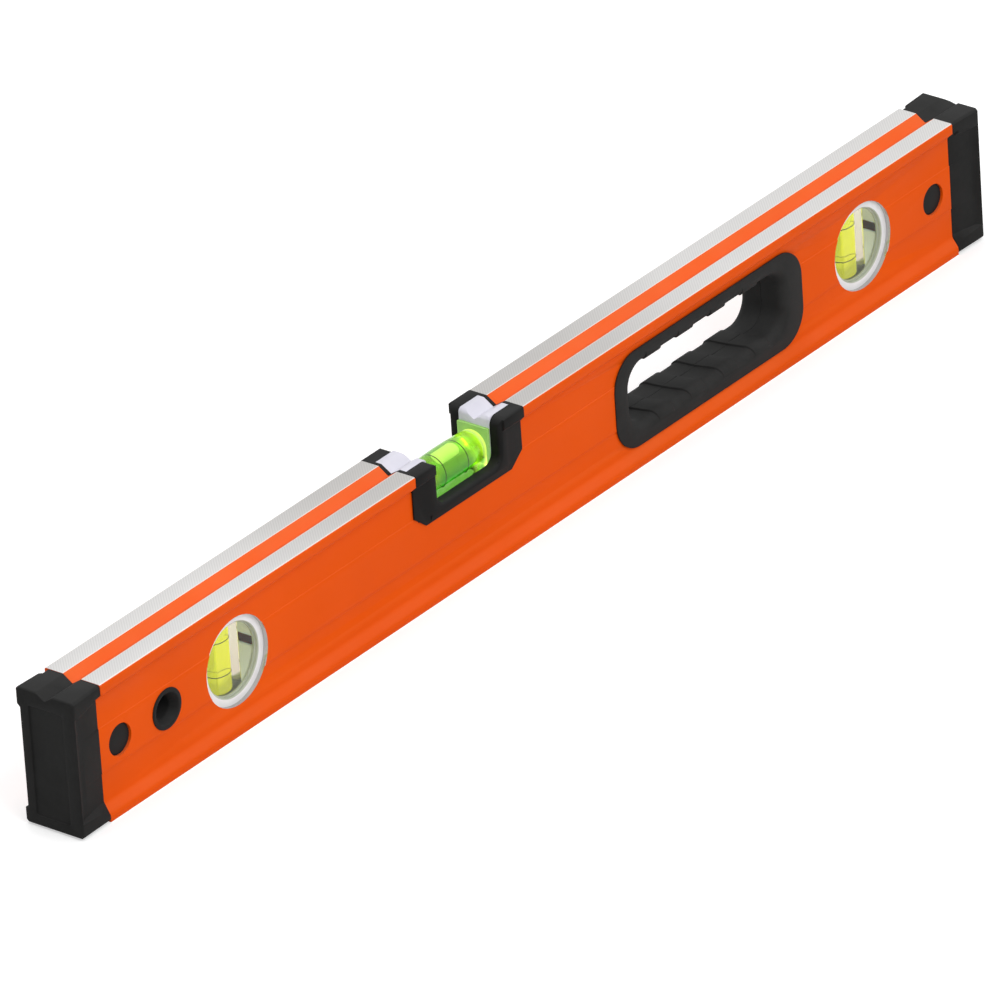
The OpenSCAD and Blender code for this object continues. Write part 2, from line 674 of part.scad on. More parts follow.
plumb_bubble_top = plumb_bore_half - 0.3;
module plumb_liquid(x) color("#d2e61e") translate([x, 0, mid_z]) difference() {
    cylinder(r = plumb_bore_r, h = 2 * plumb_bore_half, center = true);
    translate([0, 0, plumb_bubble_top + 0.2 - plumb_bubble_len - plumb_travel - 0.4])
        cylinder(r = plumb_bubble_r + 0.2, h = plumb_bubble_len + plumb_travel + 0.4);
}

module plumb_bubble(x) color("#f0ffe0")
    translate([x, 0, mid_z + plumb_bubble_top - plumb_bubble_len / 2])
    capsule(plumb_bubble_r, plumb_bubble_len);

beam();
end_cap(-1);  // end_cap_left
end_cap(1);  // end_cap_right
cap_plug(-1);  // cap_plug_left
cap_plug(1);  // cap_plug_right
lock_button(-1, -1);  // lock_button_left_front
lock_button(-1, 1);  // lock_button_left_back
lock_button(1, -1);  // lock_button_right_front
lock_button(1, 1);  // lock_button_right_back
lock_spring(-1);  // lock_spring_left
lock_spring(1);  // lock_spring_right
hang_grommet(-1);  // hang_grommet_front
hang_grommet(1);  // hang_grommet_back
handle_grip(-1);  // handle_grip_front
handle_grip(1);  // handle_grip_back
centre_housing(-1);  // centre_housing_front
centre_housing(1);  // centre_housing_back
centre_cradle();
centre_vial();
centre_vial_plug();
centre_rings();
centre_liquid();
centre_bubble();
plumb_drum(plumb_left_x);  // plumb_left_drum
plumb_bezel(plumb_left_x, -1);  // plumb_left_bezel_front
plumb_bezel(plumb_left_x, 1);  // plumb_left_bezel_back
plumb_lens(plumb_left_x, -1);  // plumb_left_lens_front
plumb_lens(plumb_left_x, 1);  // plumb_left_lens_back
plumb_vial(plumb_left_x);  // plumb_left_vial
plumb_plug(plumb_left_x);  // plumb_left_plug
plumb_rings(plumb_left_x);  // plumb_left_rings
plumb_liquid(plumb_left_x);  // plumb_left_liquid
plumb_bubble(plumb_left_x);  // plumb_left_bubble
plumb_drum(plumb_right_x);  // plumb_right_drum
plumb_bezel(plumb_right_x, -1);  // plumb_right_bezel_front
plumb_bezel(plumb_right_x, 1);  // plumb_right_bezel_back
plumb_lens(plumb_right_x, -1);  // plumb_right_lens_front
plumb_lens(plumb_right_x, 1);  // plumb_right_lens_back
plumb_vial(plumb_right_x);  // plumb_right_vial
plumb_plug(plumb_right_x);  // plumb_right_plug
plumb_rings(plumb_right_x);  // plumb_right_rings
plumb_liquid(plumb_right_x);  // plumb_right_liquid
plumb_bubble(plumb_right_x);  // plumb_right_bubble
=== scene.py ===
# %% [markdown]
# Box beam level. The tool is a hollow aluminium extrusion with an orange powder coat.
# Its two top rails and its foot are milled bare, because they are the measuring faces.
# A barrel vial is read from above, and two round windows hold the plumb vials.
# Everything is in metres: +X runs along the level, -Y is the front face and +Z is up.

# %% Load the frame
import json
import math

import bmesh
import bpy
from mathutils import Matrix, Vector

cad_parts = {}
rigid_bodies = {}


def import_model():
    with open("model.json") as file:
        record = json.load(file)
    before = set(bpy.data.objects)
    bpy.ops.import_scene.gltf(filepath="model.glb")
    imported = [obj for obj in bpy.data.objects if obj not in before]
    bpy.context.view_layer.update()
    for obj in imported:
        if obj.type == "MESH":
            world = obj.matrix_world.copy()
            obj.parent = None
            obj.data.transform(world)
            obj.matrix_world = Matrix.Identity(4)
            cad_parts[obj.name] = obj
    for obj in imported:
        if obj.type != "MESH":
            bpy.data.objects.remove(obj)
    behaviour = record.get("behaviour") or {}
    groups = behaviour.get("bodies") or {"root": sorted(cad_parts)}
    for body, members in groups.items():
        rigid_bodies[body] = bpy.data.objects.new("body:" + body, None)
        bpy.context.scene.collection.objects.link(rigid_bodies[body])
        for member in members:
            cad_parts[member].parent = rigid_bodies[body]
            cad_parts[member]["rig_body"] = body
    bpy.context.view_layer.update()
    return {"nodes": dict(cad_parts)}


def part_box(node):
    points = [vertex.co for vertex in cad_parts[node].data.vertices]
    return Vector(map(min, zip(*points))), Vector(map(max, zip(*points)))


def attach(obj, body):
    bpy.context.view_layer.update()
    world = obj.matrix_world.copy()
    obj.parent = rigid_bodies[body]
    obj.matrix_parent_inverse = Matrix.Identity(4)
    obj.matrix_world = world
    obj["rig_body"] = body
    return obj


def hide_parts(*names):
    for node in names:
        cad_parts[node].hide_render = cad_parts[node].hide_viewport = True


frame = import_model()
MM = 0.001


def in_mm(point):
    return [round(value / MM, 2) for value in point]


# %% [markdown]
# The camera comes first, because every later choice is judged through it.
# The photograph was taken from far away with a long lens, so the parallel edges of the beam
# hardly converge. The place and turn below were solved from the outlines in the picture.


# %% Camera
def new_object(name, data):
    """An object in the scene that shows the data."""
    obj = bpy.data.objects.new(name, data)
    bpy.context.scene.collection.objects.link(obj)
    return obj


camera = new_object("photo_camera", bpy.data.cameras.new("photo_camera"))
camera.data.sensor_fit = "HORIZONTAL"
camera.data.sensor_width = 36.0
camera.data.lens = 517.44
camera.data.clip_start, camera.data.clip_end = 0.1, 60.0
camera_place = (-4.03915, -3.31418, 2.80131)
view_right = Vector((0.60976, -0.79038, -0.05905))
view_up = Vector((0.40551, 0.24709, 0.88006))
view_back = Vector((-0.68099, -0.56058, 0.47117))
turn = Matrix((view_right, view_up, view_back)).transposed().to_4x4()
camera.matrix_world = Matrix.Translation(camera_place) @ turn
bpy.context.scene.camera = camera
bpy.context.scene.view_settings.view_transform = "Standard"
print("camera is", round(camera.location.length, 2), "m from the middle of the level")

# %% [markdown]
# Small helpers keep the materials readable. Each finish starts from one Principled shader,
# and its patterns read Object coordinates, so they keep their size and stay with the piece.


# %% Helpers for materials
def start_finish(name, **sockets):
    """A new material with one Principled shader, whose plain values are set directly."""
    mat = bpy.data.materials.new(name)
    mat.use_nodes = True
    tree = mat.node_tree
    tree.nodes.clear()
    out = tree.nodes.new("ShaderNodeOutputMaterial")
    shader = tree.nodes.new("ShaderNodeBsdfPrincipled")
    tree.links.new(shader.outputs["BSDF"], out.inputs["Surface"])
    for socket, value in sockets.items():
        shader.inputs[socket.replace("_", " ")].default_value = value
    return mat, tree, shader


def add_node(tree, kind, links=None, **values):
    """Adds a node: values set its properties or sockets, links join its sockets."""
    node = tree.nodes.new(kind)
    for key, value in values.items():
        if hasattr(node, key):
            setattr(node, key, value)
        else:
            node.inputs[key.replace("_", " ")].default_value = value
    for socket, source in (links or {}).items():
        tree.links.new(source, node.inputs[socket])
    return node


def feed(tree, shader, **sources):
    """Links patterns into the sockets of the shader."""
    for socket, source in sources.items():
        tree.links.new(source, shader.inputs[socket.replace("_", " ")])


def object_position(tree):
    return add_node(tree, "ShaderNodeTexCoord").outputs["Object"]


def position_parts(tree):
    """The object position as three sockets named X, Y and Z."""
    return add_node(tree, "ShaderNodeSeparateXYZ", {"Vector": object_position(tree)}).outputs


def noise(tree, scale, detail=3.0, roughness=0.5):
    return add_node(tree, "ShaderNodeTexNoise", {"Vector": object_position(tree)}, Scale=scale,
                    Detail=detail, Roughness=roughness).outputs["Fac"]


def remap(tree, value, old, new, **values):
    """Takes the value from the range old to the range new."""
    node = add_node(tree, "ShaderNodeMapRange", {"Value": value}, **values)
    for socket, number in zip(("From Min", "From Max", "To Min", "To Max"), (*old, *new)):
        node.inputs[socket].default_value = number
    return node.outputs["Result"]


def math_node(tree, operation, a, b=None):
    node = add_node(tree, "ShaderNodeMath", operation=operation)
    for i, v in enumerate((a, b)):
        if isinstance(v, (int, float)):
            node.inputs[i].default_value = v
        elif v is not None:
            tree.links.new(v, node.inputs[i])
    return node.outputs["Value"]


def distance_from(tree, value, middle):
    return math_node(tree, "ABSOLUTE", math_node(tree, "SUBTRACT", value, middle))


def mix_colors(tree, share, first, second):
    """A mix of two colours, each given as a tuple or as a socket."""
    node = add_node(tree, "ShaderNodeMix", data_type="RGBA")
    share_input, first_input, second_input, color_output = 0, 6, 7, 2
    for i, v in ((share_input, share), (first_input, first), (second_input, second)):
        if isinstance(v, tuple):
            node.inputs[i].default_value = v
        else:
            tree.links.new(v, node.inputs[i])
    return node.outputs[color_output]


def bump(tree, shader, height, distance, strength, under=None):
    """Dents the surface by the height, on top of the normal under where one is given."""
    node = add_node(tree, "ShaderNodeBump", {"Height": height}, Distance=distance,
                    Strength=strength)
    if under is not None:
        tree.links.new(under, node.inputs["Normal"])
    tree.links.new(node.outputs["Normal"], shader.inputs["Normal"])
    return node.outputs["Normal"]


# %% [markdown]
# Faces that look up are paled a little. This is painted sheen: it stands for the brighter
# light that the top faces catch and reflect from above. The share comes from the surface's
# own direction and a noise, so it stays where it is when the camera moves.


# %% Painted sheen on faces that look up
# Pales the faces that look up towards a light colour: painted sheen.
def painted_top_sheen(tree, color, share, sheen_color=(0.95, 0.95, 0.95, 1)):
    facing = add_node(tree, "ShaderNodeSeparateXYZ",
                      {"Vector": add_node(tree, "ShaderNodeNewGeometry").outputs["Normal"]})
    upward = remap(tree, facing.outputs["Z"], (0.25, 0.9), (0.0, share))
    patchy = remap(tree, noise(tree, scale=45.0, detail=4.0), (0.3, 0.7), (0.75, 1.25))
    return mix_colors(tree, math_node(tree, "MULTIPLY", upward, patchy), color, sheen_color)


# %% [markdown]
# Powder coat is plastic powder melted onto the metal. It is slightly wavy, like the skin of
# an orange, with a fine grain on top. Its colour hardly varies, so a broad faint noise is
# enough, and the roughness changes a little where hands have rubbed it.
# Its shine is weak in the photograph, so the specular level is set low.


# %% Orange powder coat
def make_powder_coat():
    mat, tree, shader = start_finish("orange_powder_coat", Specular_IOR_Level=0.045)
    deep, bright = (0.785, 0.088, 0.0025, 1), (0.83, 0.096, 0.0035, 1)
    warm_sheen = (1.0, 0.97, 0.62, 1)
    broad = noise(tree, scale=14.0, detail=2.0)
    color = mix_colors(tree, remap(tree, broad, (0.35, 0.65), (0, 1)), deep, bright)
    rubbed = noise(tree, scale=35.0, detail=4.0)
    # The faces that look up are paled towards a warm light colour: painted sheen.
    feed(tree, shader, Base_Color=painted_top_sheen(tree, color, 0.04, warm_sheen),
         Roughness=remap(tree, rubbed, (0.3, 0.7), (0.38, 0.48)))
    peel = noise(tree, scale=620.0, detail=2.0)
    grain = noise(tree, scale=2600.0, detail=2.0)
    peeled = bump(tree, shader, peel, distance=0.00004, strength=0.5)
    bump(tree, shader, grain, distance=0.00001, strength=0.4, under=peeled)
    return mat


# %% [markdown]
# The rails are cut by a face mill, which leaves two sets of fine lines that cross at right
# angles. Two wave textures turned against each other give that cross-hatch as bump, as tone
# and as roughness. Beside the centre vial the rails are painted darker, a painted dim
# reflection, and a painted highlight brightens their edges.


# %% Milled aluminium
WEAK_LINES = 0.4  # strength of the second set of lines, beside the first
HATCH_RANGE = (0.0, 1.0 + WEAK_LINES)
DIM_REFLECTION_X = -0.035  # middle of the stretch with a painted dim reflection
DIM_REFLECTION_REACH = (0.065, 0.165)  # distances from there: fully dim, and fully bright
RAIL_Y = 0.00935  # middle of a rail
RAIL_EDGE = (0.0041, 0.00445)  # distances from there: no painted highlight yet, and the full painted highlight


def hatch_height(tree):
    """Two sets of milling lines at right angles, one of them weaker."""
    heights = []
    for side in (-1, 1):
        place = add_node(tree, "ShaderNodeMapping", {"Vector": object_position(tree)},
                         Rotation=(0, 0, side * math.radians(45)))
        wave = add_node(tree, "ShaderNodeTexWave", {"Vector": place.outputs["Vector"]},
                        Scale=300.0, Distortion=0.6, Detail=2.0, Detail_Scale=0.6)
        heights.append(wave.outputs["Fac"])
    weaker = math_node(tree, "MULTIPLY", heights[0], WEAK_LINES)
    return math_node(tree, "ADD", heights[1], weaker)


def make_milled_aluminium():
    mat, tree, shader = start_finish("milled_aluminium", Metallic=1.0)
    line, edge_highlight_color = (0.16, 0.155, 0.15, 1), (0.93, 0.86, 0.80, 1)
    hatch = hatch_height(tree)
    parts = position_parts(tree)
    # Darker beside the centre vial and brighter towards the ends: painted reflection.
    dim_reflection = mix_colors(tree, noise(tree, scale=60.0), (0.54, 0.525, 0.51, 1),
                      (0.59, 0.575, 0.56, 1))
    bright_reflection = mix_colors(tree, noise(tree, scale=60.0), (0.70, 0.69, 0.68, 1),
                       (0.76, 0.75, 0.74, 1))
    toward_bright_reflection = remap(tree, distance_from(tree, parts["X"], DIM_REFLECTION_X), DIM_REFLECTION_REACH, (0, 1),
                    interpolation_type="SMOOTHSTEP")
    plain = mix_colors(tree, toward_bright_reflection, dim_reflection, bright_reflection)
    lined = mix_colors(tree, remap(tree, hatch, HATCH_RANGE, (0.17, 0.0)), plain, line)
    # A painted highlight brightens the edges of each rail.
    across = math_node(tree, "ABSOLUTE", parts["Y"])
    highlight_share = remap(tree, distance_from(tree, across, RAIL_Y), RAIL_EDGE, (0.0, 0.7))
    feed(tree, shader, Base_Color=mix_colors(tree, highlight_share, lined, edge_highlight_color),
         Roughness=remap(tree, hatch, HATCH_RANGE, (0.42, 0.32)))
    bump(tree, shader, hatch, distance=0.00003, strength=0.5)
    return mat


def make_cut_aluminium(name, low, high):
    """Bare metal with fine turning lines, between two greys that are a little warm."""
    mat, tree, shader = start_finish(name, Metallic=1.0)
    lines = add_node(tree, "ShaderNodeTexWave", {"Vector": object_position(tree)},
                     bands_direction="Y", Scale=900.0, Distortion=0.6).outputs["Fac"]
    color = mix_colors(tree, lines, (low, low * 0.985, low * 0.97, 1),
                       (high, high * 0.985, high * 0.97, 1))
    feed(tree, shader, Base_Color=color, Roughness=remap(tree, lines, (0, 1), (0.2, 0.34)))
    bump(tree, shader, lines, distance=0.00001, strength=0.5)
    return mat


# %% [markdown]
# The black parts are two materials. The caps and the lining of the hand opening are rubber,
# dull and grainy. The housing, the eyelet and the buttons are harder plastic with a fine
# spark-eroded grain. Rubbed places are a little lighter, as black plastic always turns grey.
# A Bevel node rounds the look of the edges further than their real radius.


# %% Black rubber and black plastic
def make_black(name, tone, roughness, grain_scale, grain_depth, soft=0.0):
    """Black between two tones. soft is the radius, in metres, that rounds its edges."""
    mat, tree, shader = start_finish(name, Specular_IOR_Level=0.07)
    rubbed = noise(tree, scale=90.0, detail=5.0, roughness=0.65)
    dark, pale = [(v, v, v * 0.98, 1) for v in tone]
    color = mix_colors(tree, remap(tree, rubbed, (0.35, 0.7), (0, 1)), dark, pale)
    # The faces that look up are paled a little: painted sheen.
    feed(tree, shader, Base_Color=painted_top_sheen(tree, color, 0.012),
         Roughness=remap(tree, rubbed, (0.3, 0.7), roughness))
    rounded = None
    if soft:
        rounded = add_node(tree, "ShaderNodeBevel", samples=6, Radius=soft).outputs["Normal"]
    bump(tree, shader, noise(tree, grain_scale), grain_depth, strength=0.6, under=rounded)
    return mat


# %% [markdown]
# White parts of a vial holder are smooth polished plastic with a cool tint.
# Clear parts are acrylic. The liquid is yellow-green. It and the clear parts get a weak
# emission beside their transmission: painted glow, which stands for the light of the dye and
# for light that the vial gathers. The liquid bends light hardly at all here, so only the outer
# skin of a vial refracts.


# %% White plastic and colours that run along a vial
def make_white_plastic(name, low, high):
    mat, tree, shader = start_finish(name, Specular_IOR_Level=0.3, Subsurface_Weight=0.05,
                                     Subsurface_Radius=(0.002, 0.002, 0.002))
    tone = noise(tree, scale=80.0)
    color = mix_colors(tree, remap(tree, tone, (0.3, 0.7), (0, 1)), (*low, 1), (*high, 1))
    feed(tree, shader, Base_Color=color, Roughness=remap(tree, tone, (0.3, 0.7), (0.28, 0.38)))
    bump(tree, shader, noise(tree, scale=1500.0, detail=2.0), distance=0.000008, strength=0.5)
    return mat


VIAL_X = -0.0473  # middle of the centre vial
END_FADE = 0.0003


def height_tint(tree, heights, low, high):
    """A colour that runs from low to high between two heights, with a slow swirl in it."""
    swirl = remap(tree, noise(tree, scale=150.0, detail=2.0), (0.3, 0.7), (-0.0012, 0.0012))
    height = math_node(tree, "ADD", position_parts(tree)["Z"], swirl)
    return mix_colors(tree, remap(tree, height, heights, (0, 1)), (*low, 1), (*high, 1))


def painted_end_glow(tree, start, full, end):
    """A mask that grows from start to full on both sides of the vial, and stops at end."""
    # This mask places a painted highlight at both ends of the vial.
    along = distance_from(tree, position_parts(tree)["X"], VIAL_X)
    return math_node(tree, "MULTIPLY", remap(tree, along, (start, full), (0, 1)),
                     remap(tree, along, (end, end + END_FADE), (1, 0)))


def polish(tree):
    """The roughness of a clear skin that is a little smeared."""
    return remap(tree, noise(tree, scale=90.0, detail=2.0), (0.3, 0.7), (0.02, 0.05))


# %% Clear and liquid finishes
def make_acrylic(name, low, high, heights, glow=0.02, clear=1.0, painted_glow_ends=None):
    """Clear plastic, tinted from low to high between two heights, with a weak emission: painted
    glow.
    """
    # Colour and strength of the painted highlight at the vial's ends.
    end_glow_color, end_glow_strength = (0.90, 1.0, 0.25, 1), 0.45
    mat, tree, shader = start_finish(name, IOR=1.49, Specular_Tint=(0.6, 1.0, 0.2, 1),
                                     Transmission_Weight=clear, Emission_Strength=glow)
    tint = height_tint(tree, heights, low, high)
    if painted_glow_ends:
        end_glow_share = painted_end_glow(tree, *painted_glow_ends)
        tint = mix_colors(tree, end_glow_share, tint, end_glow_color)
        feed(tree, shader, Emission_Strength=remap(tree, end_glow_share, (0, 1), (glow, end_glow_strength)))
    feed(tree, shader, Base_Color=tint, Emission_Color=tint, Roughness=polish(tree))
    bump(tree, shader, noise(tree, scale=400.0, detail=1.0), distance=0.000003, strength=0.3)
    return mat


def make_liquid(name, low, high, heights, glow, clear, passed, density, painted_glow_ends=None):
    """Dyed liquid with a weak emission, painted glow. Only light of the colour passed gets through
    it.
    """
    # Colour of the painted highlight at the liquid's ends.
    end_glow_color = (0.72, 0.95, 0.02, 1)
    mat, tree, shader = start_finish(name, IOR=1.01, Transmission_Weight=clear,
                                     Emission_Strength=glow)
    tint = height_tint(tree, heights, low, high)
    if painted_glow_ends:
        tint = mix_colors(tree, painted_end_glow(tree, *painted_glow_ends), tint, end_glow_color)
    feed(tree, shader, Base_Color=tint, Emission_Color=tint, Roughness=polish(tree))
    bump(tree, shader, noise(tree, scale=300.0, detail=1.0), distance=0.000003, strength=0.3)
    volume = add_node(tree, "ShaderNodeVolumeAbsorption", Color=(*passed, 1), Density=density)
    out = next(n for n in tree.nodes if n.type == "OUTPUT_MATERIAL")
    tree.links.new(volume.outputs["Volume"], out.inputs["Volume"])
    return mat


def make_lens():
    """A thin clear disc. It hides almost nothing, so it is mostly see-through."""
    mat, tree, shader = start_finish("clear_lens", Alpha=0.06)
    smear = noise(tree, scale=60.0)
    color = mix_colors(tree, smear, (0.48, 0.52, 0.46, 1), (0.60, 0.64, 0.58, 1))
    feed(tree, shader, Base_Color=color, Roughness=remap(tree, smear, (0.3, 0.7), (0.03, 0.08)))
    bump(tree, shader, smear, distance=0.000004, strength=0.3)
    return mat


# %% Make the finishes
FINISH = {
    "powder": make_powder_coat(),
    "milled": make_milled_aluminium(),
    "cut": make_cut_aluminium("cut_aluminium", 0.50, 0.62),
    "steel": make_cut_aluminium("spring_steel", 0.42, 0.55),
    "rubber": make_black("black_rubber", (0.014, 0.021), (0.58, 0.70), 2200.0, 0.00003, 0.0013),
    "grip": make_black("grip_rubber", (0.021, 0.030), (0.58, 0.70), 2200.0, 0.00003, 0.0006),
    "plastic": make_black("black_plastic", (0.013, 0.019), (0.50, 0.62), 3000.0, 0.00002, 0.0004),
    "housing": make_black("housing_plastic", (0.009, 0.014), (0.54, 0.66), 3000.0, 0.00002,
                          0.0004),
    "plug": make_black("dark_plastic", (0.04, 0.06), (0.5, 0.6), 1800.0, 0.00002),
    "ring": make_black("ring_print", (0.003, 0.005), (0.5, 0.6), 4000.0, 0.00001),
    "white": make_white_plastic("white_plastic", (0.64, 0.63, 0.71), (0.70, 0.69, 0.77)),
    "bezel": make_white_plastic("bezel_plastic", (0.82, 0.82, 0.83), (0.88, 0.88, 0.89)),
    "drum": make_white_plastic("drum_plastic", (0.81, 0.87, 0.86), (0.87, 0.93, 0.92)),
    # Painted shade for the deep part of a window ring.
    "shade": make_white_plastic("ring_painted_shade", (0.40, 0.44, 0.35), (0.52, 0.56, 0.47)),
    # Deep green below and pale above, painted light and shade, with painted highlights at the
    # ends.
    "acrylic": make_acrylic("clear_acrylic", (0.16, 0.46, 0.06), (0.94, 1.0, 0.80),
                            heights=(0.0435, 0.0505), painted_glow_ends=(0.0160, 0.0182, 0.0191)),
    # Lighter towards the bottom, with a weak emission: painted glow.
    "plate": make_acrylic("green_acrylic", (0.60, 0.94, 0.38), (0.48, 0.80, 0.24),
                          heights=(0.045, 0.055), glow=0.05, clear=0.45),
    # A faint emission: painted glow.
    "block": make_acrylic("plumb_acrylic", (0.76, 0.72, 0.60), (0.78, 0.74, 0.62),
                          heights=(0.01, 0.05)),
    # Pale and glowing instead of clear: painted glow.
    "bubble": make_acrylic("vial_bubble", (0.80, 0.82, 0.95), (0.84, 0.86, 1.0),
                           heights=(0.044, 0.053), glow=0.40, clear=0.0),
    "lens": make_lens(),
    # Deep green below and yellow-green above, painted light and shade, with a painted glow and
    # painted highlights at the ends.
    "liquid": make_liquid("centre_liquid", (0.10, 0.62, 0.02), (0.58, 0.93, 0.10),
                          heights=(0.0455, 0.0535), glow=0.15, clear=0.80,
                          passed=(0.73, 0.926, 0.04), density=160.0,
                          painted_glow_ends=(0.0085, 0.0175, 0.0188)),
    # A weak emission: painted glow.
    "plumb_liquid": make_liquid("plumb_liquid", (0.90, 0.94, 0.02), (0.90, 0.94, 0.02),
                                heights=(0.01, 0.05), glow=0.25, clear=0.75,
                                passed=(0.93, 0.95, 0.02), density=300.0),
}
print("finishes:", ", ".join(sorted(FINISH)))

# %% [markdown]
# The imported solids have exact forms but flat little faces and razor edges.
# A moulded or milled part has a small radius on every edge, which is what catches the light.
# So most visible parts are merged copies of their solids, most of them with a fine bevel,
# and each copy replaces its solid.


# %% Helpers that round edges and smooth faces
def bake_modifiers(obj):
    """Turns an object with modifiers into a plain mesh."""
    graph = bpy.context.evaluated_depsgraph_get()
    made = bpy.data.meshes.new_from_object(obj.evaluated_get(graph))
    obj.modifiers.clear()
    old = obj.data
    obj.data = made
    bpy.data.meshes.remove(old)


def soften_edges(obj, width, segments, sharp):
    """Bevels the edges that turn by more than sharp degrees."""
    bevel = obj.modifiers.new("edge", "BEVEL")
    bevel.width = width
    bevel.segments = segments
    bevel.limit_method = "ANGLE"
    bevel.angle_limit = math.radians(sharp)
    bake_modifiers(obj)


def smooth_faces(mesh, sharp):
    """Smooth shading that keeps the edges that turn by more than sharp degrees."""
    mesh.shade_smooth()
    mesh.set_sharp_from_angle(angle=math.radians(sharp))


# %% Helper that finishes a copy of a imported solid
MERGE_DISTANCE = 0.000001
FLAT_ANGLE = math.radians(0.6)


def body_of_node(name):
    return frame["nodes"][name]["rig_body"]


def finish_copy(name, finishes, edge=0.0, segments=2, sharp=30.0, pick=None):
    """A copy of the node whose edges are rounded by edge, in mm.
    pick(face) gives the place of the face's finish in the list."""
    mesh = frame["nodes"][name].data.copy()
    mesh.materials.clear()
    work = bmesh.new()
    work.from_mesh(mesh)
    bmesh.ops.remove_doubles(work, verts=work.verts, dist=MERGE_DISTANCE)
    bmesh.ops.dissolve_limit(work, angle_limit=FLAT_ANGLE, verts=work.verts, edges=work.edges)
    work.to_mesh(mesh)
    work.free()
    obj = new_object(name + "_finished", mesh)
    for finish in finishes:
        mesh.materials.append(FINISH[finish])
    if edge:
        soften_edges(obj, edge * MM, segments, sharp)
    if pick:
        for face in obj.data.polygons:
            face.material_index = pick(face)
    smooth_faces(obj.data, sharp)
    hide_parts(name)
    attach(obj, body_of_node(name))
    return obj


# %% [markdown]
# The beam carries three finishes. Its faces are sorted by where they are: the tops of the
# rails and the underside of the foot are milled, the rims of the two windows are bare cut
# metal, and all the rest is powder coated. The bevel adds faces, so they are sorted after it.

# %% Beam
BEAM_FINISHES = ["powder", "milled", "cut"]
RAIL_TOP, FOOT = 0.0623, 0.0002  # faces above the one and below the other are milled
WINDOWS_X, WINDOW_R, MIDDLE_Z = (-0.1995, 0.2242), 0.0198, 0.0312
WALL_TURN = 0.1  # the wall of a hole faces less than this towards the front or the back


def beam_finish(face):
    c, n = face.center, face.normal
    if c.z > RAIL_TOP or c.z < FOOT:
        return BEAM_FINISHES.index("milled")
    if abs(n.y) < WALL_TURN:
        for x in WINDOWS_X:
            if math.hypot(c.x - x, c.z - MIDDLE_Z) < WINDOW_R:
                return BEAM_FINISHES.index("cut")
    return BEAM_FINISHES.index("powder")


beam = finish_copy("beam", BEAM_FINISHES, 0.12, 1, 32.0, beam_finish)
print("beam:", len(beam.data.polygons), "faces")

# %% [markdown]
# The end caps, the eyelet, the buttons, the lining and the centre housing are moulded.
# Remodelling them would only repeat the solids, so each is a bevelled copy. Soft rubber has
# the roundest edges. The plugs are hidden in the beam, so they keep their edges.

# %% Black parts
SIDES, FACES = ("left", "right"), ("front", "back")
for side in SIDES:
    finish_copy(f"end_cap_{side}", ["rubber"], 0.35)
    finish_copy(f"cap_plug_{side}", ["plug"])
    for face_side in FACES:
        finish_copy(f"lock_button_{side}_{face_side}", ["plastic"], 0.35, 3)
for face_side in FACES:
    finish_copy(f"hang_grommet_{face_side}", ["plastic"], 0.25)
    finish_copy(f"handle_grip_{face_side}", ["grip"], 0.25, sharp=34.0)
    finish_copy(f"centre_housing_{face_side}", ["housing"], 0.25, sharp=34.0)
print("black parts finished")

# %% [markdown]
# The tray of the centre vial, the drums of the plumb vials and the rings of the windows are
# white plastic. A ring looks darker and greenish where it lies deep, because light reaches it
# only through the window. That part gets painted shade, a darker green finish of its own,
# picked by its depth.

# %% White parts and lenses
RING_FINISHES = ["bezel", "shade"]
RING_SEAT_Y = 0.0093  # a ring is in the shade where it is nearer to the middle than this


def bezel_finish(face):
    in_light = abs(face.center.y) > RING_SEAT_Y
    return RING_FINISHES.index("bezel" if in_light else "shade")


finish_copy("centre_cradle", ["white"], 0.2)
for side in SIDES:
    finish_copy(f"plumb_{side}_drum", ["drum"])
    finish_copy(f"plumb_{side}_plug", ["drum"])
    for face_side in FACES:
        finish_copy(f"plumb_{side}_bezel_{face_side}", RING_FINISHES, 0.15,
                    pick=bezel_finish)
        finish_copy(f"plumb_{side}_lens_{face_side}", ["lens"])
print("white parts and lenses finished")

# %% [markdown]
# The clear vials are turned or moulded shapes, so they are made as smooth surfaces.
# A bore inside clear plastic is drawn by the liquid that fills it: the clear piece is only
# its outer skin, because two skins in one place would fight in the renderer.


# %% Turned shapes
TURNED_SIDES = 96
POINT_R = 1e-7  # a ring smaller than this is a single point


def to_mesh(work, name):
    mesh = bpy.data.meshes.new(name)
    work.to_mesh(mesh)
    work.free()
    return mesh


def turned(name, profile, axis="Z"):
    """A closed surface of revolution from (radius, height) points, in metres."""
    work = bmesh.new()
    rings = []
    for r, h in profile:
        if r < POINT_R:
            rings.append([work.verts.new((0, 0, h))])
        else:
            angles = [2 * math.pi * k / TURNED_SIDES for k in range(TURNED_SIDES)]
            rings.append([work.verts.new((r * math.cos(a), r * math.sin(a), h)) for a in angles])
    for low, high in zip(rings, rings[1:]):
        for k in range(TURNED_SIDES):
            j = (k + 1) % TURNED_SIDES
            quad = [low[k % len(low)], low[j % len(low)], high[j % len(high)], high[k % len(high)]]
            work.faces.new([v for i, v in enumerate(quad) if v not in quad[:i]])
    bmesh.ops.recalc_face_normals(work, faces=work.faces)
    mesh = to_mesh(work, name)
    if axis == "X":
        mesh.transform(Matrix.Rotation(math.pi / 2, 4, "Y"))
    smooth_faces(mesh, 40)
    return new_object(name, mesh)


def place(obj, centre, finish, slot, node):
    """Moves the mesh to its centre, gives it a finish and lets it stand for a node."""
    obj.data.transform(Matrix.Translation(centre))
    obj.data.materials.append(FINISH[finish])
    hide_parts(node)
    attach(obj, body_of_node(node))


# %% Profiles of turned shapes
def mirrored(lower):
    """A whole profile from its lower half."""
    return lower + [(r, -h) for r, h in reversed(lower)]


